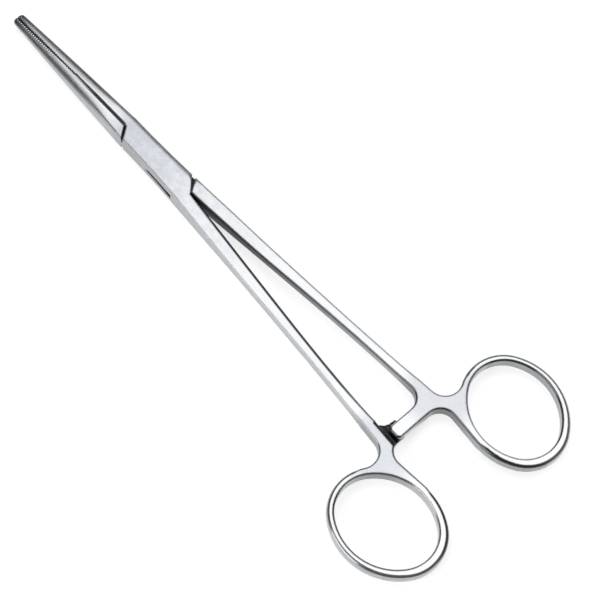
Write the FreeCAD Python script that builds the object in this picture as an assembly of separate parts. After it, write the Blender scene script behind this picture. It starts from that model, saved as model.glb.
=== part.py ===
import FreeCAD, Part
import math
import os

# Straight hemostat forceps: two crossed halves and the rivet pin that joins them in a box lock.
# X runs from the pivot to the jaw tips, Y across the instrument and Z up, in millimetres.
# The origin is on the pivot axis, in the plane of the lock's back face, which it rests on.
# Every half is drawn with its own side as +Y and mirrored where it lies on the other side.

Vector = FreeCAD.Vector

# Lock: a flat box whose two plates are one with the lower half, round a slot for the other
lock_depth = 5.8
lock_front_x = 14.0
lock_back_x = -14.6
lock_front_half_width = 3.75
lock_pivot_half_width = 3.87
lock_back_half_width = 4.5
lock_edge_bevel = 0.4
plate_front_inner_x = 13.5
plate_front_outer_x = 10.7
plate_back_outer_x = -10.3
slot_depth = 1.9
slot_front_x = 10.7
slot_back_x = -10.7
slot_corner_inset = 0.3

# Tongue: the flat middle of the crossing half, which turns in the slot
tongue_clearance = 0.09
tongue_flush_x = 1.0
tongue_corner_clearance = 0.3
shoulder_front_inner_gap = 0.65
shoulder_front_outer_gap = 0.6
shoulder_back_inner_gap = 0.1
shoulder_back_outer_gap = 1.5

# Pivot pin, riveted into the plates and ground flush with both faces
pin_diameter = 3.0
pin_running_clearance = 0.05
pin_flare_width = 0.35
pin_flare_depth = 0.4

# Jaws: flat front and back, bowed outer side, cross-cut gripping faces
jaw_tip_x = 62.4
jaw_middle_half_width = 3.1
jaw_tip_half_width = 1.9
jaw_middle_depth = 4.5
jaw_tip_depth = 2.0
jaw_root_bow = 0.7
jaw_middle_bow = 1.3
jaw_tip_bow = 0.7
jaw_root_bow_drop = 0.7
jaw_middle_bow_drop = 1.8
jaw_tip_bow_drop = 0.85
jaw_stations = 8
nose_round = 0.9
nose_depth_round = 0.35
nose_stations = 3
grip_root_gap = 0.2
grip_middle_gap = 0.5
grip_tip_gap = 0.1
serration_start_x = 36.0
serration_pitch = 0.8
serration_depth = 0.36
grip_bevel_start_x = 33.0
grip_bevel_tip = 0.55

# Shanks: slim bars that leave the lock and spread to the rings
shank_root_gap = 0.12
shank_middle_inner_y = 3.75
shank_end_inner_y = 6.95
shank_middle_outer_y = 7.2
shank_end_outer_y = 10.25
shank_inner_sway = 0.22
shank_outer_sway = 0.1
shank_depth = 3.1
shank_taper_length = 31.0
shank_edge_bevel = 0.4
shank_stations = 9
web_rise_length = 9.0

# Ratchet arms and finger rings
ratchet_x = -104.1
web_length = 7.5
web_outer_round = 5.0
web_inner_round = 4.5
web_slope_deg = 4.6
web_run_out_round = 6.0
web_run_out_deg = 60.0
ring_depth = 4.2
ring_offset_x = 16.57
ring_offset_y = 23.88
ring_hole_long_half = 14.6
ring_hole_short_half = 12.15
ring_tilt_deg = 12.0
ring_near_wall = 2.15
ring_far_wall = 2.85
ring_side_wall = 2.2
ring_outer_round = 1.1
ring_hole_bevel = 0.45
ring_flat_inset = 0.75

# Ratchet teeth: four on each arm, face to face across the middle plane
upper_arm_width = 4.3
upper_arm_reach = 5.8
upper_arm_round = 1.3
upper_arm_root_round = 4.3
upper_ramp_start = 6.0
upper_ramp_end = -0.6
lower_arm_front_x = -100.9
lower_arm_back_x = -106.2
lower_arm_front_tip = 1.6
lower_arm_back_tip = 2.9
lower_arm_round = 0.9
lower_arm_root_round = 3.7
lower_ramp_start = 8.2
lower_ramp_break = 7.3
lower_ramp_break_drop = 0.55
lower_ramp_end = 6.9
teeth_front_x = -98.2
teeth_back_x = -107.2
tooth_slant_deg = 3.2
tooth_pitch = 1.25
tooth_height = 0.5
tooth_count = 4
tooth_crest_clearance = 0.06
tooth_catch_lean = 0.12
tooth_catch_y = 6.6
tooth_catch_gap = 0.1

# Worked out from the sizes above
middle_z = lock_depth / 2
shank_end_x = ratchet_x + web_length
tooth_root_drop = ring_depth / 2 + tooth_crest_clearance + tooth_height
ring_centre = Vector(ratchet_x - ring_offset_x, ring_offset_y, 0)
ring_tilt = math.radians(ring_tilt_deg)
ring_long = Vector(math.cos(ring_tilt), math.sin(ring_tilt), 0)
ring_short = Vector(-math.sin(ring_tilt), math.cos(ring_tilt), 0)
ring_outer_long_half = ring_hole_long_half + (ring_near_wall + ring_far_wall) / 2
ring_outer_short_half = ring_hole_short_half + ring_side_wall
ring_outer_centre = ring_centre - ring_long * ((ring_far_wall - ring_near_wall) / 2)
beyond = 4 * lock_depth
closest_angle = 1e-12
up = Vector(0, 0, 1)
across = Vector(0, 1, 0)


def through(u, start, middle, end):
    """Parabola through three values, at u = 0, one half and 1."""
    return start * (1 - u) * (1 - 2 * u) + 4 * middle * u * (1 - u) + end * u * (2 * u - 1)


def prism(edges, bottom_z, top_z):
    """Solid over a closed plan outline."""
    face = Part.Face(Part.Wire(edges))
    face.translate(up * bottom_z)
    return face.extrude(up * (top_z - bottom_z))


def polygon(points):
    """Closed outline of straight edges."""
    return Part.makePolygon(points + points[:1]).Edges


def plan(x, y):
    return Vector(x, y, 0)


def extended(start, end, distance):
    """Point beyond end, on the line from start."""
    return end + (end - start).normalize() * distance


def quarter(start, corner, end):
    """Quarter of an ellipse that leaves start and reaches end along the corner's two sides."""
    curve = Part.BezierCurve()
    curve.setPoles([start, corner, end])
    curve.setWeight(2, math.sqrt(0.5))
    return curve.toShape()


def bevel(start, corner, end):
    """Straight cut across a corner."""
    return Part.LineSegment(start, end).toShape()


def section(x, inner_y, outer_y, depth, inner_cut, outer_cut, drop, corner_edge):
    """Cross-section in the plane at x: a rectangle whose corners are cut by bevels or quarter ellipses."""
    low = middle_z - depth / 2
    high = middle_z + depth / 2
    corners = (
        (Vector(x, outer_y - outer_cut, low), Vector(x, outer_y, low), Vector(x, outer_y, low + drop)),
        (Vector(x, outer_y, high - drop), Vector(x, outer_y, high), Vector(x, outer_y - outer_cut, high)),
        (Vector(x, inner_y + inner_cut, high), Vector(x, inner_y, high), Vector(x, inner_y, high - drop)),
        (Vector(x, inner_y, low + drop), Vector(x, inner_y, low), Vector(x, inner_y + inner_cut, low)),
    )
    edges = []
    previous = corners[-1][-1]
    for start, corner, end in corners:
        edges.append(Part.LineSegment(previous, start).toShape())
        edges.append(corner_edge(start, corner, end))
        previous = end
    return Part.Wire(edges)


def rounded_path(points, radii):
    """Edges from the first point to the last, with an arc of the given radius at each corner."""
    edges = []
    start = points[0]
    for before, corner, after, radius in zip(points, points[1:], points[2:], radii):
        to_before = (before - corner).normalize()
        to_after = (after - corner).normalize()
        half_angle = to_before.getAngle(to_after) / 2
        reach = radius / math.tan(half_angle)
        rise = radius / math.sin(half_angle) - radius
        arc_start = corner + to_before * reach
        arc_middle = corner + (to_before + to_after).normalize() * rise
        arc_end = corner + to_after * reach
        edges.append(Part.LineSegment(start, arc_start).toShape())
        edges.append(Part.Arc(arc_start, arc_middle, arc_end).toShape())
        start = arc_end
    edges.append(Part.LineSegment(start, points[-1]).toShape())
    return edges


def lock_half_width(x):
    """Half the lock's width, which waists a little at the pivot."""
    u = (lock_front_x - x) / (lock_front_x - lock_back_x)
    return through(u, lock_front_half_width, lock_pivot_half_width, lock_back_half_width)


def lock_slab():
    """The whole closed lock as one slab with bevelled long edges."""
    wires = []
    for x in (lock_front_x, (lock_front_x + lock_back_x) / 2, lock_back_x):
        half = lock_half_width(x)
        cut = lock_edge_bevel
        wires.append(section(x, -half, half, lock_depth, cut, cut, cut, bevel))
    return Part.makeLoft(wires, True, False)


def jaw_blank():
    """One jaw on the +Y side, still without its gripping face."""
    nose_x = jaw_tip_x - nose_round
    overlap = -jaw_tip_half_width / 2
    wires = []
    for step in range(jaw_stations + 1):
        u = step / jaw_stations
        x = lock_front_x + u * (nose_x - lock_front_x)
        half = through(u, lock_half_width(lock_front_x), jaw_middle_half_width, jaw_tip_half_width)
        bow = through(u, jaw_root_bow, jaw_middle_bow, jaw_tip_bow)
        drop = through(u, jaw_root_bow_drop, jaw_middle_bow_drop, jaw_tip_bow_drop)
        wires.append(section(x, overlap, half, jaw_depth_at(x), lock_edge_bevel, bow, drop, quarter))
    jaw = Part.makeLoft(wires, True, True)
    wires = []
    for step in range(nose_stations + 1):
        angle = math.pi / 2 * step / nose_stations
        x = nose_x + nose_round * math.sin(angle)
        half = jaw_tip_half_width - nose_round * (1 - math.cos(angle))
        depth = jaw_tip_depth - 2 * nose_depth_round * (1 - math.cos(angle))
        drop = jaw_tip_bow_drop * depth / jaw_tip_depth
        wires.append(section(x, overlap, half, depth, lock_edge_bevel, jaw_tip_bow, drop, quarter))
    nose = Part.makeLoft(wires, True, False)
    return jaw.fuse(nose)


def jaw_depth_at(x):
    u = (x - lock_front_x) / (jaw_tip_x - nose_round - lock_front_x)
    return through(u, lock_depth, jaw_middle_depth, jaw_tip_depth)


def grip_gap(x):
    """Gap between the two gripping faces: widest behind the middle, nearly closed at the tips."""
    u = (x - lock_front_x) / (jaw_tip_x - lock_front_x)
    return through(u, grip_root_gap, grip_middle_gap, grip_tip_gap)


def grip_cutter(side):
    """Everything on the other side of one jaw's gripping face; side is the jaw's own, +1 or -1."""
    smooth_middle_x = (lock_front_x + serration_start_x) / 2
    line = [plan(lock_front_x, side * grip_gap(lock_front_x) / 2)]
    line.append(plan(smooth_middle_x, side * grip_gap(smooth_middle_x) / 2))
    half_steps = int(2 * (jaw_tip_x - serration_start_x) / serration_pitch)
    for step in range(half_steps + 1):
        x = serration_start_x + step * serration_pitch / 2
        wave = serration_depth / 2 * (1 if step % 2 else -1)
        line.append(plan(x, side * grip_gap(x) / 2 + wave))
    line.append(plan(jaw_tip_x + beyond, side * grip_gap(jaw_tip_x) / 2))
    far = -side * beyond
    outline = line + [plan(jaw_tip_x + beyond, far), plan(lock_front_x, far)]
    return prism(polygon(outline), -beyond, beyond)


def bevel_cutter(side, face):
    """Wedge that bevels a jaw's gripping edge on the front (+1) or the back (-1), wider to the tip."""
    rise = up * (face * lock_depth)
    past_teeth = (across * side + up * face) * serration_depth
    start = Vector(grip_bevel_start_x, 0, middle_z + face * jaw_depth_at(grip_bevel_start_x) / 2)
    end = Vector(jaw_tip_x, 0, middle_z + face * (jaw_depth_at(jaw_tip_x) / 2 - grip_bevel_tip))
    apex = start - past_teeth
    corners = [apex, apex + rise + across * (side * lock_depth), apex + rise]
    return Part.Face(Part.Wire(polygon(corners))).extrude(end - start)


def cut_to_grip(jaw, side):
    """One jaw with its serrated gripping face and the bevels along it."""
    return jaw.cut([grip_cutter(side), bevel_cutter(side, 1), bevel_cutter(side, -1)])


def shank_inner_y(x):
    u = (lock_back_x - x) / (lock_back_x - shank_end_x)
    sway = shank_inner_sway * math.sin(2 * math.pi * u)
    return through(u, shank_root_gap / 2, shank_middle_inner_y, shank_end_inner_y) - sway


def shank_outer_y(x):
    u = (lock_back_x - x) / (lock_back_x - shank_end_x)
    sway = shank_outer_sway * math.sin(2 * math.pi * u)
    return through(u, lock_back_half_width, shank_middle_outer_y, shank_end_outer_y) + sway


def shank_depth_at(x):
    """Full lock depth at the lock, down to the slim bar, and up again to the rings' depth."""
    left = max(0, 1 - (lock_back_x - x) / shank_taper_length)
    fall = (lock_depth - shank_depth) * left ** 2 * (2 - left)
    risen = max(0, 1 - (x - shank_end_x) / web_rise_length)
    rise = (ring_depth - shank_depth) * risen ** 2 * (3 - 2 * risen)
    return shank_depth + fall + rise


def end_direction(edge_y):
    """Direction of a shank edge where it reaches the web."""
    step = web_length / 100
    return plan(-step, edge_y(shank_end_x) - edge_y(shank_end_x + step)).normalize()


def shank():
    """One shank on the +Y side, from the lock to the web."""
    inner_stretch = 1 / abs(end_direction(shank_inner_y).x)
    outer_stretch = 1 / abs(end_direction(shank_outer_y).x)
    wires = []
    for step in range(shank_stations + 1):
        u = step / shank_stations
        x = lock_back_x + (shank_end_x - lock_back_x) * u
        cut = lock_edge_bevel + (shank_edge_bevel - lock_edge_bevel) * u
        inner_cut = cut * (1 + u * (inner_stretch - 1))
        outer_cut = cut * (1 + u * (outer_stretch - 1))
        depth = shank_depth_at(x)
        wires.append(section(x, shank_inner_y(x), shank_outer_y(x), depth, inner_cut, outer_cut, cut, bevel))
    return Part.makeLoft(wires, True, False)


def oval_point(centre, long_half, short_half, angle):
    """Point of a four-arc oval whose outward normal makes the given angle with the ring's long axis."""
    offset = (long_half - short_half) * (1 + math.sqrt(0.5))
    outwards = ring_long * math.cos(angle) + ring_short * math.sin(angle)
    turns = round(angle / math.radians(90))
    sign = 1 if turns % 4 < 2 else -1
    if turns % 2:
        return centre - ring_short * (sign * offset) + outwards * (short_half + offset)
    return centre + ring_long * (sign * offset) + outwards * (long_half - offset)


def oval(centre, long_half, short_half):
    """Closed oval of four arcs that touch where their normals are at 45 degrees to the axes."""
    edges = []
    for turns in range(4):
        middle = math.radians(90 * turns)
        points = []
        for angle in (middle - math.radians(45), middle, middle + math.radians(45)):
            points.append(oval_point(centre, long_half, short_half, angle))
        edges.append(Part.Arc(*points).toShape())
    return edges


def ring_point(angle):
    """Point of the ring's outline, and the direction that faces outwards there."""
    point = oval_point(ring_outer_centre, ring_outer_long_half, ring_outer_short_half, angle)
    return point, ring_long * math.cos(angle) + ring_short * math.sin(angle)


def web_outer_arc(shank_corner, direction):
    """Arc that joins the shank's outer edge to the ring, and its angle on the ring."""
    normal = plan(direction.y, -direction.x)
    low = -math.pi / 2
    high = math.pi / 6
    while high - low > closest_angle:
        angle = (low + high) / 2
        point, outwards = ring_point(angle)
        centre = point + outwards * web_outer_round
        if (centre - shank_corner).dot(normal) < web_outer_round:
            low = angle
        else:
            high = angle
    on_line = centre - normal * web_outer_round
    middle = centre + ((on_line + point) * 0.5 - centre).normalize() * web_outer_round
    return on_line, middle, point, angle


def run_out(angle, turn):
    """Arc that leaves the ring's outline inwards, on which the web's edge runs out over the rounding."""
    point, outwards = ring_point(angle)
    centre = point - outwards * web_run_out_round
    points = [point]
    for part in (turn / 2, turn):
        points.append(centre + ring_point(angle + part)[1] * web_run_out_round)
    return points


def crossing(point, direction, x):
    """Point at x on the line through a point."""
    return point + direction * ((x - point.x) / direction.x)


def flat_faces(plate):
    return [face for face in plate.Faces if face.BoundBox.ZLength < shank_edge_bevel / 2]


def outer_rims(plate):
    """Edges round the front and the back of a plate, without those where the shank meets it."""
    edges = [edge for face in flat_faces(plate) for edge in face.OuterWire.Edges]
    return [edge for edge in edges if edge.BoundBox.XMin < shank_end_x - shank_edge_bevel / 2]


def hole_rims(plate):
    """Edges round the hole of a plate, on its front and its back."""
    wires = [wire for face in flat_faces(plate) for wire in face.Wires if not wire.isSame(face.OuterWire)]
    return [edge for wire in wires for edge in wire.Edges]


def finger_ring():
    """The ring alone, rounded outside and bevelled a little at the finger hole."""
    low = middle_z - ring_depth / 2
    high = middle_z + ring_depth / 2
    disc = prism(oval(ring_outer_centre, ring_outer_long_half, ring_outer_short_half), low, high)
    disc = disc.makeFillet(ring_outer_round, outer_rims(disc))
    hole = oval(ring_centre, ring_hole_long_half, ring_hole_short_half)
    ring = disc.cut(prism(hole, low - beyond, high + beyond))
    return ring.makeChamfer(ring_hole_bevel, hole_rims(ring))


def ring_blank(arm_front_x, arm_back_x, front_tip_y, back_tip_y, tip_round, root_round):
    """Ring, web and ratchet arm of a +Y half."""
    outer_corner = plan(shank_end_x, shank_outer_y(shank_end_x))
    inner_corner = plan(shank_end_x, shank_inner_y(shank_end_x))
    arc_start, arc_middle, arc_end, arc_angle = web_outer_arc(outer_corner, end_direction(shank_outer_y))
    slope = math.radians(web_slope_deg)
    web_direction = plan(math.cos(slope), math.sin(slope))
    web_angle = slope - math.radians(90) - ring_tilt
    run_out_turn = math.radians(web_run_out_deg)
    first_run_out = run_out(arc_angle, run_out_turn)
    last_run_out = run_out(web_angle, -run_out_turn)
    web_start = last_run_out[0]
    corners = [
        web_start,
        crossing(web_start, web_direction, arm_back_x),
        plan(arm_back_x, back_tip_y),
        plan(arm_front_x, front_tip_y),
        crossing(inner_corner, end_direction(shank_inner_y), arm_front_x),
        inner_corner,
    ]
    edges = [
        Part.LineSegment(outer_corner, arc_start).toShape(),
        Part.Arc(arc_start, arc_middle, arc_end).toShape(),
        Part.Arc(*first_run_out).toShape(),
        Part.LineSegment(first_run_out[-1], last_run_out[-1]).toShape(),
        Part.Arc(*last_run_out).toShape(),
    ]
    edges += rounded_path(corners, [web_inner_round, tip_round, tip_round, root_round])
    edges.append(Part.LineSegment(inner_corner, outer_corner).toShape())
    low = middle_z - ring_depth / 2
    high = middle_z + ring_depth / 2
    plate = prism(Part.__sortEdges__(edges), low, high)
    plate = plate.makeChamfer(shank_edge_bevel, outer_rims(plate))
    inside = oval(ring_centre, ring_hole_long_half + ring_flat_inset, ring_hole_short_half + ring_flat_inset)
    plate = plate.cut(prism(inside, low - beyond, high + beyond))
    return plate.fuse(finger_ring())


def tooth_cutter(ramp, first_y, tip_y, face):
    """What is cut from the front (+1) or the back (-1) of an arm: a ramp, given as places along the arm
    with the drop below the face there, then the teeth."""
    outside = middle_z + face * (ring_depth / 2)
    root = outside - face * tooth_root_drop
    crest = root + face * tooth_height
    profile = [(y, outside - face * drop) for y, drop in ramp]
    for index in range(tooth_count):
        catch_y = first_y - index * tooth_pitch
        profile.append((catch_y, root))
        profile.append((catch_y - tooth_catch_lean, crest))
    last_y = first_y - tooth_count * tooth_pitch
    end_y = min(last_y, tip_y) - tooth_pitch
    profile += [(last_y, root), (end_y, root), (end_y, outside + face * beyond)]
    profile.append((ramp[0][0], outside + face * beyond))
    slant = face * math.tan(math.radians(tooth_slant_deg))
    points = [Vector(teeth_back_x, y + slant * (ratchet_x - teeth_back_x), z) for y, z in profile]
    length = teeth_front_x - teeth_back_x
    return Part.Face(Part.Wire(polygon(points))).extrude(plan(length, -slant * length))


def lower_handle():
    """Shank and ring of the half that carries the lock, with the arm whose teeth face up."""
    ring = ring_blank(lower_arm_front_x, lower_arm_back_x, lower_arm_front_tip,
                      lower_arm_back_tip, lower_arm_round, lower_arm_root_round)
    ramp = [
        (lower_ramp_start, 0),
        (lower_ramp_break, lower_ramp_break_drop),
        (lower_ramp_end, tooth_root_drop),
    ]
    cutter = tooth_cutter(ramp, tooth_catch_y, lower_arm_front_tip, 1)
    return shank().fuse(ring.cut(cutter))


def upper_handle():
    """Shank and ring of the crossing half, drawn on the +Y side, with the arm whose teeth face back."""
    half_arm = upper_arm_width / 2
    ring = ring_blank(ratchet_x + half_arm, ratchet_x - half_arm, -upper_arm_reach,
                      -upper_arm_reach, upper_arm_round, upper_arm_root_round)
    innermost_catch = tooth_catch_y + tooth_catch_gap - tooth_count * tooth_pitch
    ramp = [(upper_ramp_start, 0), (upper_ramp_end, tooth_root_drop)]
    cutter = tooth_cutter(ramp, -innermost_catch, -upper_arm_reach, -1)
    return shank().fuse(ring.cut(cutter))


def mirrored(shape):
    return shape.mirror(Vector(0, 0, 0), across)


# Plan lines of the lock that both halves are cut to
front_plate_inner = plan(plate_front_inner_x, -grip_gap(lock_front_x) / 2)
front_plate_outer = plan(plate_front_outer_x, lock_half_width(plate_front_outer_x))
back_plate_inner = plan(lock_back_x, shank_root_gap / 2)
back_plate_outer = plan(plate_back_outer_x, -lock_half_width(plate_back_outer_x))
front_plate_edge = (front_plate_outer - front_plate_inner).normalize()
back_plate_edge = (back_plate_outer - back_plate_inner).normalize()
slot_front_inner = front_plate_inner + front_plate_edge * slot_corner_inset
slot_front_outer = plan(slot_front_x, -lock_half_width(slot_front_x))
slot_back_inner = back_plate_inner + back_plate_edge * slot_corner_inset
slot_back_outer = plan(slot_back_x, lock_half_width(slot_back_x))
shoulder_front_inner = front_plate_inner + plan(shoulder_front_inner_gap, grip_gap(lock_front_x))
shoulder_front_outer = front_plate_outer + plan(shoulder_front_outer_gap, 0)
shoulder_back_inner = back_plate_inner - plan(shoulder_back_inner_gap, shank_root_gap)
shoulder_back_outer = back_plate_outer - plan(shoulder_back_outer_gap, 0)
tongue_front_corner = slot_front_inner + front_plate_edge * tongue_corner_clearance
tongue_back_corner = slot_back_inner + back_plate_edge * tongue_corner_clearance
tongue_front_flush = plan(tongue_flush_x, lock_half_width(tongue_flush_x))
tongue_back_flush = plan(-tongue_flush_x, -lock_half_width(-tongue_flush_x))


def pin_hole(radius):
    return Part.makeCylinder(radius, 2 * beyond, Vector(0, 0, -beyond))


def make_pivot_pin():
    """Rivet pin: a cylinder that flares at both ends into the countersinks of the plates."""
    radius = pin_diameter / 2
    flare_radius = radius + pin_flare_width
    profile = [
        Vector(0, 0, 0),
        Vector(flare_radius, 0, 0),
        Vector(radius, 0, pin_flare_depth),
        Vector(radius, 0, lock_depth - pin_flare_depth),
        Vector(flare_radius, 0, lock_depth),
        Vector(0, 0, lock_depth),
    ]
    return Part.Face(Part.Wire(polygon(profile))).revolve(Vector(0, 0, 0), up, 360)


def make_female_half(pin):
    """Jaw on the -Y side, lock plates, and shank and ring on the +Y side."""
    open_front = [
        plan(lock_front_x + beyond, front_plate_inner.y),
        front_plate_inner,
        extended(front_plate_inner, front_plate_outer, beyond),
        plan(lock_front_x + beyond, beyond),
    ]
    open_back = [
        plan(lock_back_x - beyond, back_plate_inner.y),
        back_plate_inner,
        extended(back_plate_inner, back_plate_outer, beyond),
        plan(lock_back_x - beyond, -beyond),
    ]
    slot = [
        extended(slot_front_outer, slot_front_inner, slot_corner_inset),
        extended(slot_front_inner, slot_front_outer, beyond),
        plan(lock_back_x, -2 * beyond),
        extended(slot_back_outer, slot_back_inner, slot_corner_inset),
        extended(slot_back_inner, slot_back_outer, beyond),
        plan(lock_front_x, 2 * beyond),
    ]
    lock = lock_slab()
    lock = lock.cut(prism(polygon(open_front), -beyond, beyond))
    lock = lock.cut(prism(polygon(open_back), -beyond, beyond))
    lock = lock.cut(prism(polygon(slot), middle_z - slot_depth / 2, middle_z + slot_depth / 2))
    jaw = cut_to_grip(mirrored(jaw_blank()), -1)
    return lock.fuse([jaw, lower_handle()]).cut(pin)


def make_male_half():
    """Jaw on the +Y side, tongue through the slot, and shank and ring on the -Y side."""
    keep_front = [
        shoulder_front_inner,
        extended(shoulder_front_inner, shoulder_front_outer, beyond),
        plan(lock_front_x + beyond, beyond),
        plan(lock_front_x + beyond, shoulder_front_inner.y),
    ]
    keep_back = [
        shoulder_back_inner,
        extended(shoulder_back_inner, shoulder_back_outer, beyond),
        plan(lock_back_x - beyond, -beyond),
        plan(lock_back_x - beyond, shoulder_back_inner.y),
    ]
    tongue_outline = [
        extended(tongue_back_flush, tongue_front_corner, lock_depth),
        plan(lock_front_x, beyond),
        extended(tongue_back_corner, tongue_front_flush, lock_depth),
        extended(tongue_front_flush, tongue_back_corner, lock_depth),
        plan(lock_back_x, -beyond),
        extended(tongue_front_corner, tongue_back_flush, lock_depth),
    ]
    tongue_half_depth = slot_depth / 2 - tongue_clearance
    slab = lock_slab()
    front_block = slab.common(prism(polygon(keep_front), -beyond, beyond))
    back_block = slab.common(prism(polygon(keep_back), -beyond, beyond))
    tongue = slab.common(prism(polygon(tongue_outline), middle_z - tongue_half_depth,
                               middle_z + tongue_half_depth))
    jaw = cut_to_grip(jaw_blank(), 1)
    half = front_block.fuse([jaw, tongue, back_block, mirrored(upper_handle())])
    return half.cut(pin_hole(pin_diameter / 2 + pin_running_clearance))


os.makedirs("parts", exist_ok=True)
pivot_pin = make_pivot_pin()
nodes = {
    "female_half": make_female_half(pivot_pin),
    "male_half": make_male_half(),
    "pivot_pin": pivot_pin,
}
for name, shape in nodes.items():
    solids = shape.Solids
    box = shape.BoundBox
    print(name, len(solids), "solid", "valid", shape.isValid(), "volume %.1f" % shape.Volume,
          "x %.2f %.2f" % (box.XMin, box.XMax), "y %.2f %.2f" % (box.YMin, box.YMax),
          "z %.2f %.2f" % (box.ZMin, box.ZMax))
    solid = solids[0] if len(solids) == 1 else shape
    solid.exportStep("parts/" + name + ".step")
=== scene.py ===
import math

import bpy
from mathutils import Matrix, Vector

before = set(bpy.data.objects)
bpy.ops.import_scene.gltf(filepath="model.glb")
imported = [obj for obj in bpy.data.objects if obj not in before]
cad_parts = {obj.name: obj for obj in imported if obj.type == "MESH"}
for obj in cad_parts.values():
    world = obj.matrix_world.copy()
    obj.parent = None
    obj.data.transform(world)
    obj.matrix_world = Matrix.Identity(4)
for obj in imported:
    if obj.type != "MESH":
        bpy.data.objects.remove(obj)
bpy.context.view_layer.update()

# The two forged halves. Each is one piece of stainless steel: drop forged, milled, then ground and
# satin polished lengthwise on a fine belt, so the flats of shanks and rings are bright with faint long
# scratches, the jaws and the box are duller, and the belt never reached the gaps of lock and ratchet.
# Walls, edges, the crotch, the jaws' sides and tips, and the gaps of lock, ratchet and jaws get painted
# shade.
bright_colour = (0.74, 0.75, 0.765)
dull_colour = (0.465, 0.482, 0.515)
# Painted shade: sideways walls blend towards the wall colour, and bevels, rolled edges and inner faces
# towards the edge colour.
painted_wall_shade_colour = (0.37, 0.375, 0.385)
painted_edge_shade_colour = (0.14, 0.142, 0.148)
# Painted deep shade, for the gaps, seams, crotch, jaw tips, serration grooves and the gap between the
# jaws.
painted_deep_shade_colour = (0.06, 0.061, 0.065)
bright_roughness = 0.17
dull_roughness = 0.27
forged_roughness = 0.5


class Value:
    """A number that changes over a surface: sums on it add the Math nodes that work it out."""

    def __init__(self, sheet, socket):
        self.sheet = sheet
        self.socket = socket

    def maths(self, operation, first, second):
        return self.sheet.value("ShaderNodeMath", {"operation": operation}, {0: first, 1: second})

    def __add__(self, other):
        return self.maths("ADD", self, other)

    def __radd__(self, other):
        return self.maths("ADD", other, self)

    def __sub__(self, other):
        return self.maths("SUBTRACT", self, other)

    def __rsub__(self, other):
        return self.maths("SUBTRACT", other, self)

    def __mul__(self, other):
        return self.maths("MULTIPLY", self, other)

    def __rmul__(self, other):
        return self.maths("MULTIPLY", other, self)

    def __truediv__(self, other):
        return self.maths("DIVIDE", self, other)

    def __rtruediv__(self, other):
        return self.maths("DIVIDE", other, self)

    def __pow__(self, other):
        return self.maths("POWER", self, other)

    def __gt__(self, other):
        return self.maths("GREATER_THAN", self, other)

    def __lt__(self, other):
        return self.maths("LESS_THAN", self, other)

    def __abs__(self):
        return self.maths("ABSOLUTE", self, 0)


class Finish:
    """One material's node sheet."""

    def __init__(self, name):
        self.material = bpy.data.materials.new(name)
        self.material.use_nodes = True
        self.nodes = self.material.node_tree.nodes
        self.links = self.material.node_tree.links
        self.nodes.clear()

    def node(self, kind, settings, sockets):
        """Adds a node: its settings first, then a number or a link for each socket that is named."""
        node = self.nodes.new(kind)
        for name, setting in settings.items():
            setattr(node, name, setting)
        for name, given in sockets.items():
            if isinstance(given, Value):
                given = given.socket
            if isinstance(given, bpy.types.NodeSocket):
                self.links.new(given, node.inputs[name])
            else:
                node.inputs[name].default_value = given
        return node

    def value(self, kind, settings, sockets):
        return Value(self, self.node(kind, settings, sockets).outputs[0])

    def parts(self, vector):
        split = self.node("ShaderNodeSeparateXYZ", {}, {0: vector})
        return [Value(self, part) for part in split.outputs]

    def own(self, normal):
        """The three parts of a normal in the object's own frame, so that they turn with it."""
        return self.parts(self.node("ShaderNodeVectorTransform", {
            "vector_type": "NORMAL", "convert_from": "WORLD", "convert_to": "OBJECT"}, {
            "Vector": normal}).outputs[0])

    def ramp(self, value, start, full):
        """0 up to the start and 1 from the full mark on, which may lie on either side of the start."""
        return self.value("ShaderNodeMapRange", {"clamp": True}, {
            "Value": value, "From Min": start, "From Max": full, "To Min": 0, "To Max": 1})

    def larger(self, first, second):
        return self.value("ShaderNodeMath", {"operation": "MAXIMUM"}, {0: first, 1: second})

    def wave(self, turns):
        return self.value("ShaderNodeMath", {"operation": "SINE"}, {0: turns * (2 * math.pi)})

    def between(self, factor, first, second):
        """Vector between two others, each a socket."""
        return self.node("ShaderNodeMix", {"data_type": "VECTOR"}, {
            0: factor, 4: first, 5: second}).outputs[1]

    def blend(self, factor, first, second):
        """Colour between two others, each three numbers or a socket."""
        given = [(*colour, 1) if isinstance(colour, tuple) else colour for colour in (first, second)]
        return self.node("ShaderNodeMix", {"data_type": "RGBA"}, {
            0: factor, 6: given[0], 7: given[1]}).outputs[2]

    def surface(self, shader):
        self.node("ShaderNodeOutputMaterial", {}, {"Surface": shader.outputs[0]})


def distance(across, along):
    return (across * across + along * along) ** 0.5


lock_front = 0.014
lock_back = -0.0146
lock_depth = 0.0058
wall_level = (0.5, 0.4)
flat_level = 0.97
bevel_level = (flat_level, 0.9)
grip_edge_reach = 0.0009
inner_facing = -0.25
# The painted shade of the crotch fades in along these marks.
crotch_fade = (-0.085, -0.036)


class Spot:
    """Where a point of a half lies and which way it faces, in the half's own frame."""

    def __init__(self, finish, ring_side):
        self.ring_side = ring_side
        self.place = finish.node("ShaderNodeTexCoord", {}, {}).outputs["Object"]
        self.x, self.y, self.z = finish.parts(self.place)
        self.half_width = abs(self.y)
        self.normal = finish.node("ShaderNodeNewGeometry", {}, {}).outputs["Normal"]
        facing = finish.own(self.normal)
        self.facing_out = facing[1] * ring_side
        self.facing_up = facing[2]
        self.level = abs(self.facing_up)
        self.wall = finish.ramp(self.level, *wall_level)
        self.grip_edge = (self.half_width < grip_edge_reach) * (self.x > lock_front)
        self.bevelled = finish.ramp(self.level, *bevel_level) * (1 - self.wall) * (1 - self.grip_edge)
        self.inner = (self.facing_out < inner_facing) * (self.x < lock_back)
        self.crotch = self.inner * finish.ramp(self.x, *crotch_fade)


ring_centre = Vector((-0.12067, 0.02388, 0))
ring_reach = 0.0198
grain_width = 0.00016
grain_length = 0.009


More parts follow.
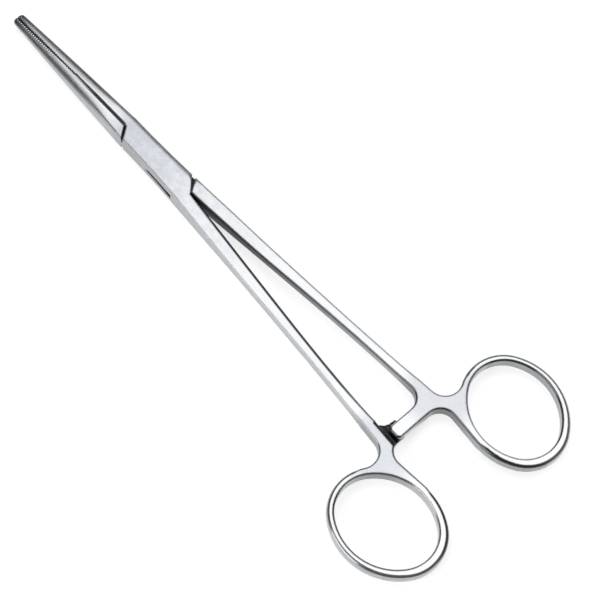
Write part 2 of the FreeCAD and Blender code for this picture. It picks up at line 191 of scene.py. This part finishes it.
def satin_grain(finish, spot):
    """Noise drawn out along the shank, and round the ring on the half's own side."""
    from_x = spot.x - ring_centre.x
    from_y = spot.y - spot.ring_side * ring_centre.y
    radius = distance(from_x, from_y)
    turn = finish.value("ShaderNodeMath", {"operation": "ARCTAN2"}, {0: from_y, 1: from_x})
    straight = finish.node("ShaderNodeCombineXYZ", {}, {
        0: spot.x / grain_length, 1: spot.y / grain_width, 2: spot.z / grain_width})
    round_ring = finish.node("ShaderNodeCombineXYZ", {}, {
        0: turn * (ring_reach / grain_length), 1: radius / grain_width, 2: spot.z / grain_width})
    along = finish.between(radius < ring_reach, straight.outputs[0], round_ring.outputs[0])
    return finish.value("ShaderNodeTexNoise", {}, {
        "Vector": along, "Scale": 1.0, "Detail": 3.0, "Roughness": 0.6})


web_centre = Vector((-0.1045, 0.0115, 0))
web_fade = (0.0135, 0.0075)
web_dulling = 0.6
lock_dull_back = (-0.045, -0.004)
lock_dull_front = (0.019, 0.013)
lock_dulling = 0.75
# The jaws darken toward the tips: duller polish and painted shade.
jaw_dull_and_shade_fade = (0.0, 0.062)
jaw_dulling_and_shade = 0.8
shank_dull_front = (-0.02, -0.04)
shank_dull_back = (-0.094, -0.08)
shank_dulling = 0.22
full_brightness = 0.9
grain_tint = 0.7
mottle_tint = 0.5


def belt_wear(finish, spot, web, grain, mottle):
    """How dull the belt left each part, and the tone that grain and mottle give it. The jaws' darkening
    toward the tips is duller polish and also painted shade.
    """
    x = spot.x
    lock = finish.ramp(x, *lock_dull_back) * finish.ramp(x, *lock_dull_front)
    jaw = finish.ramp(x, *jaw_dull_and_shade_fade)
    shank = finish.ramp(x, *shank_dull_front) * finish.ramp(x, *shank_dull_back)
    dullness = lock * lock_dulling + web * web_dulling + jaw * jaw_dulling_and_shade + shank * shank_dulling
    tone = full_brightness - dullness + mottle * (mottle_tint + lock) + grain * grain_tint
    return dullness, tone


flush_margin = 0.00004
seam_fade = (0.006, 0.009)
least_lock_shade = 0.4
ratchet_back = -0.1075
ratchet_front = -0.0982
ratchet_reach = 0.0079
ratchet_top = 0.0044
ratchet_bottom = lock_depth / 4
tooth_facing = 0.25


def painted_lock_and_ratchet_shade(finish, spot):
    """Painted shade on the tongue and in the slot, darkest at the seams, and between the ratchet's arms.
    """
    x = spot.x
    z = spot.z
    in_lock = (x > lock_back) * (x < lock_front)
    inside = (abs(z - lock_depth / 2) < lock_depth / 2 - flush_margin) * (spot.level > flat_level)
    seam = finish.ramp(abs(x), *seam_fade)
    in_ratchet = (x > ratchet_back) * (x < ratchet_front) * (spot.half_width < ratchet_reach)
    to_other_arm = spot.facing_up * spot.ring_side > tooth_facing
    teeth = in_ratchet * to_other_arm * (z < ratchet_top) * (z > ratchet_bottom)
    # painted shade inside the lock, darkest at its seams, and on the ratchet's teeth
    return finish.larger(in_lock * inside * (least_lock_shade + seam * (1 - least_lock_shade)), teeth)


shank_end = -0.0966
shank_start_inner = 0.00006
shank_middle_inner = 0.00375
shank_end_inner = 0.00695
shank_sway = 0.00022
edge_line_width = 0.00095
edge_line_fade = 0.0002
edge_line_start = (0.0, 0.15)
edge_line_end = (1.0, 0.85)


def shank_edge_shade_line(finish, spot):
    """Painted dark line of shade along the rolled inner edge of the shank on the +Y side, along the
    parabola that the shank follows.
    """
    along = (spot.x - lock_back) / (shank_end - lock_back)
    inner = (1 - along) * (1 - along * 2) * shank_start_inner
    inner = inner + along * (1 - along) * (4 * shank_middle_inner)
    inner = inner + along * (along * 2 - 1) * shank_end_inner
    inner = inner - finish.wave(along) * shank_sway
    edge = finish.ramp(spot.half_width - inner, edge_line_width, edge_line_width - edge_line_fade)
    ends = finish.ramp(along, *edge_line_start) * finish.ramp(along, *edge_line_end)
    return edge * (1 - spot.wall) * ends * (spot.y > 0)


# Strengths of the painted shade on walls, bevels, rolled edges, inner faces, web walls and crotch.
roll_fade = (-0.04, -0.25)
wall_tint = 0.85
wall_mottle = 0.8
bevel_tint = 0.5
roll_tint = 0.9
edge_line_tint = 0.95
inner_tint = 0.35
inner_bevel_tint = 0.6
web_wall_tint = 0.5
crotch_shade_tint = 0.92


def painted_edge_shade(finish, spot, colour, web, mottle, rolled):
    """Painted shade on walls, bevels, rolled inner edges, the shanks' inner faces, the web's walls and
    the crotch.
    """
    roll = finish.own(rolled)[1] * spot.ring_side
    inner_edge = finish.ramp(roll, *roll_fade) * (1 - spot.wall) * (spot.x < lock_back)
    inner_walls = spot.inner * (inner_tint + spot.bevelled * inner_bevel_tint)
    # painted shade on walls and bevels, set by how steeply they face
    colour = finish.blend(spot.wall * (wall_tint - mottle * wall_mottle), colour, painted_wall_shade_colour)
    colour = finish.blend(spot.bevelled * bevel_tint, colour, painted_edge_shade_colour)
    colour = finish.blend(inner_edge * roll_tint, colour, painted_edge_shade_colour)
    # painted dark line of shade along the +Y shank's inner edge
    colour = finish.blend(shank_edge_shade_line(finish, spot) * edge_line_tint, colour, painted_deep_shade_colour)
    colour = finish.blend(inner_walls + web * spot.wall * web_wall_tint, colour, painted_edge_shade_colour)
    # painted shade in the crotch between the shanks, fading towards the lock
    return finish.blend(spot.crotch * crotch_shade_tint, colour, painted_deep_shade_colour)


jaw_root_fade = (0.062, 0.014)
jaw_tip_half = 0.0019
jaw_growth = 0.00185
jaw_side_start = (0.014, 0.03)
jaw_side_fade = (0.2, 0.9)
jaw_side_tint = 0.6
lock_jaw_tint = 0.3
tip_fade = (0.056, 0.0615)
tip_tint = 0.65
gap_reach = 0.00055
gap_fade = (0.042, 0.027)
gap_wall_share = 0.4
serration_start = 0.036
serration_pitch = 0.0008
serration_fade = (0.04, 0.05)
groove_wave = (-0.4, 0.3)
crest_wave = (-0.3, -0.8)


def jaw_share(finish, spot):
    """0 in the mid-plane and 1 at the jaw's outer side."""
    return spot.half_width / (finish.ramp(spot.x, *jaw_root_fade) * jaw_growth + jaw_tip_half)


def jaw_shade_and_highlights(finish, spot, colour):
    """Painted shade on the jaws' sides and tips, painted shade and highlight on the grooves of the
    bevelled gripping edge, and painted shade in the gap between the jaws.
    """
    x = spot.x
    side = finish.ramp(x, *jaw_side_start) * finish.ramp(jaw_share(finish, spot), *jaw_side_fade)
    side_tint = jaw_side_tint + (spot.y < 0) * lock_jaw_tint
    # painted shade on the jaws' outer sides, more on the -Y jaw
    colour = finish.blend(side * (1 - spot.wall) * side_tint, colour, painted_edge_shade_colour)
    # painted shade at the tips
    colour = finish.blend(finish.ramp(x, *tip_fade) * tip_tint, colour, painted_deep_shade_colour)
    # painted shade in the serration grooves and painted highlight on their crests, on the +Y jaw's grip
    # edge
    wave = finish.wave((x - serration_start) / serration_pitch)
    serrated = spot.grip_edge * finish.ramp(x, *serration_fade) * (spot.y > 0)
    colour = finish.blend(serrated * finish.ramp(wave, *groove_wave), colour, painted_deep_shade_colour)
    colour = finish.blend(serrated * finish.ramp(wave, *crest_wave), colour, bright_colour)
    # painted shade in the gap between the closed jaws
    gap = (spot.half_width < gap_reach) * (x > lock_front) * finish.ramp(x, *gap_fade)
    return finish.blend(gap * (1 - spot.wall * gap_wall_share), colour, painted_deep_shade_colour)


rolled_edge = 0.0007
rolled_jaw = 0.0026
roll_samples = 8
jaw_roll_start = (0.016, 0.026)
jaw_roll_fade = (0.3, 0.55)
lock_roll_side = (-0.0018, -0.003)
lock_roll_start = (lock_back, -0.01)
pin_reach = 0.0024
scratch_depth = 0.00002
scratch_strength = 0.25


def rolled_normal(finish, spot, rolled, grain):
    """Edges rolled over by the belt, most on the jaws' sides and not at the pin, with fine scratches."""
    round_jaw = finish.node("ShaderNodeBevel", {"samples": roll_samples}, {"Radius": rolled_jaw})
    jaw_side = finish.ramp(spot.x, *jaw_roll_start) * finish.ramp(jaw_share(finish, spot), *jaw_roll_fade)
    lock_side = finish.ramp(spot.y, *lock_roll_side) * finish.ramp(spot.x, *lock_roll_start)
    rounder = finish.larger(jaw_side * (1 - spot.wall), lock_side)
    turned = finish.between(rounder, rolled, round_jaw.outputs[0])
    off_pin = distance(spot.x, spot.y) > pin_reach
    turned = finish.between(off_pin * (1 - spot.grip_edge), spot.normal, turned)
    scratched = finish.node("ShaderNodeBump", {}, {
        "Strength": scratch_strength, "Distance": scratch_depth, "Height": grain, "Normal": turned})
    return scratched.outputs[0]


mottle_size = 0.0024
middle_noise = 0.5
lock_and_ratchet_shade_tint = 0.93
mottle_roughness = 0.12
grain_roughness = 0.14
wall_roughness = 0.08


def satin_steel(name, ring_side):
    """The steel of the half whose ring lies on the given side, +1 or -1 along Y."""
    finish = Finish(name)
    spot = Spot(finish, ring_side)
    grain = satin_grain(finish, spot)
    streaks = grain - middle_noise
    mottle = finish.value("ShaderNodeTexNoise", {}, {
        "Vector": spot.place, "Scale": 1 / mottle_size, "Detail": 4.0, "Roughness": 0.62}) - middle_noise
    rolled = finish.node("ShaderNodeBevel", {"samples": roll_samples}, {"Radius": rolled_edge}).outputs[0]
    from_web = distance(spot.x - web_centre.x, spot.y - ring_side * web_centre.y)
    web = finish.ramp(from_web, *web_fade)
    lock_and_ratchet_shade = painted_lock_and_ratchet_shade(finish, spot)

    dullness, tone = belt_wear(finish, spot, web, streaks, mottle)
    colour = finish.blend(tone, dull_colour, bright_colour)
    colour = painted_edge_shade(finish, spot, colour, web, mottle, rolled)
    colour = jaw_shade_and_highlights(finish, spot, colour)
    # painted shade in the lock and between the ratchet's arms
    colour = finish.blend(lock_and_ratchet_shade * lock_and_ratchet_shade_tint, colour, painted_deep_shade_colour)

    roughness = bright_roughness + dullness * (dull_roughness - bright_roughness)
    roughness = roughness + mottle * mottle_roughness + streaks * grain_roughness
    roughness = roughness + spot.wall * wall_roughness
    roughness = roughness + finish.larger(lock_and_ratchet_shade, spot.crotch) * (forged_roughness - roughness)
    finish.surface(finish.node("ShaderNodeBsdfPrincipled", {}, {
        "Base Color": colour, "Metallic": 1.0, "Roughness": roughness,
        "Normal": rolled_normal(finish, spot, rolled, grain)}))
    return finish.material


def dress(node, material):
    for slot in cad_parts[node].material_slots:
        slot.material = material


dress("female_half", satin_steel("satin_steel_lock_half", 1))
dress("male_half", satin_steel("satin_steel_tongue_half", -1))

# The pivot pin. A short rod of the same steel, driven through the lock, spread into the countersinks
# of both plates and ground flush with them, so that its ends take the same satin polish.
dress("pivot_pin", satin_steel("satin_steel_pin", 1))

# The floor. A plain pale table top that the lock's back face lies on. It shows as white, also in the
# steel that mirrors it, and keeps the soft shadow of the forceps.
floor_size = 6.0
floor_colour = (0.95, 0.95, 0.95, 1)
floor_roughness = 0.9
floor_white = (0.64, 0.64, 0.64)


def table_top():
    bpy.ops.mesh.primitive_plane_add(size=floor_size)
    table = bpy.context.object
    table.name = "floor"
    finish = Finish("pale_floor")
    rays = finish.node("ShaderNodeLightPath", {}, {})
    seen = Value(finish, rays.outputs["Is Camera Ray"]) + Value(finish, rays.outputs["Is Glossy Ray"])
    seen = seen + Value(finish, rays.outputs["Is Transmission Ray"])
    finish.surface(finish.node("ShaderNodeBsdfPrincipled", {}, {
        "Base Color": floor_colour, "Roughness": floor_roughness,
        "Emission Color": finish.blend(seen, (0, 0, 0), floor_white), "Emission Strength": 1.0}))
    table.data.materials.append(finish.material)


table_top()

# The light. A large soft box overhead is what the ground flats mirror, and a pale screen beside the
# forceps lights the side walls of shanks and rings, in a studio with dim grey walls.
wall_light = 0.17
soft_box_size = 1.0
soft_box_place = Vector((0.18, -0.3, 1.1))
soft_box_power = 4.1
screen_size = 0.9
screen_place = Vector((0.2, 1.1, 0.45))
screen_power = 4.8


def studio_walls():
    world = bpy.data.worlds.new("studio")
    bpy.context.scene.world = world
    world.use_nodes = True
    walls = world.node_tree.nodes["Background"].inputs
    walls["Color"].default_value = (1, 1, 1, 1)
    walls["Strength"].default_value = wall_light


def soft_lamp(name, size, place, power):
    lamp = bpy.data.lights.new(name, "AREA")
    lamp.size = size
    lamp.energy = power
    stand = bpy.data.objects.new(name, lamp)
    stand.location = place
    stand.rotation_euler = place.to_track_quat("Z", "Y").to_euler()
    bpy.context.scene.collection.objects.link(stand)


studio_walls()
soft_lamp("soft_box", soft_box_size, soft_box_place, soft_box_power)
soft_lamp("pale_screen", screen_size, screen_place, screen_power)

# The camera. It looks down on the forceps from the ring end, a little to the +Y side, and is turned so
# that the jaws point to the upper left.
camera_place = Vector((-0.20016, 0.160765, 0.498961))
camera_aim = Vector((-0.058134, -0.002129, 0.0029))
picture_up_deg = -42.2001
lens_mm = 117.474
sensor_mm = 36.0
nearest_seen = 0.01


def photograph_view():
    forward = (camera_aim - camera_place).normalized()
    turn = math.radians(picture_up_deg)
    right = forward.cross(Vector((math.cos(turn), math.sin(turn), 0))).normalized()
    upward = right.cross(forward)
    lens = bpy.data.cameras.new("camera")
    lens.lens = lens_mm
    lens.sensor_width = sensor_mm
    lens.clip_start = nearest_seen
    camera = bpy.data.objects.new("camera", lens)
    aim = Matrix((right, upward, -forward)).transposed().to_4x4()
    camera.matrix_world = Matrix.Translation(camera_place) @ aim
    bpy.context.scene.collection.objects.link(camera)
    bpy.context.scene.camera = camera


photograph_view()
bpy.context.scene.view_settings.view_transform = "Standard"
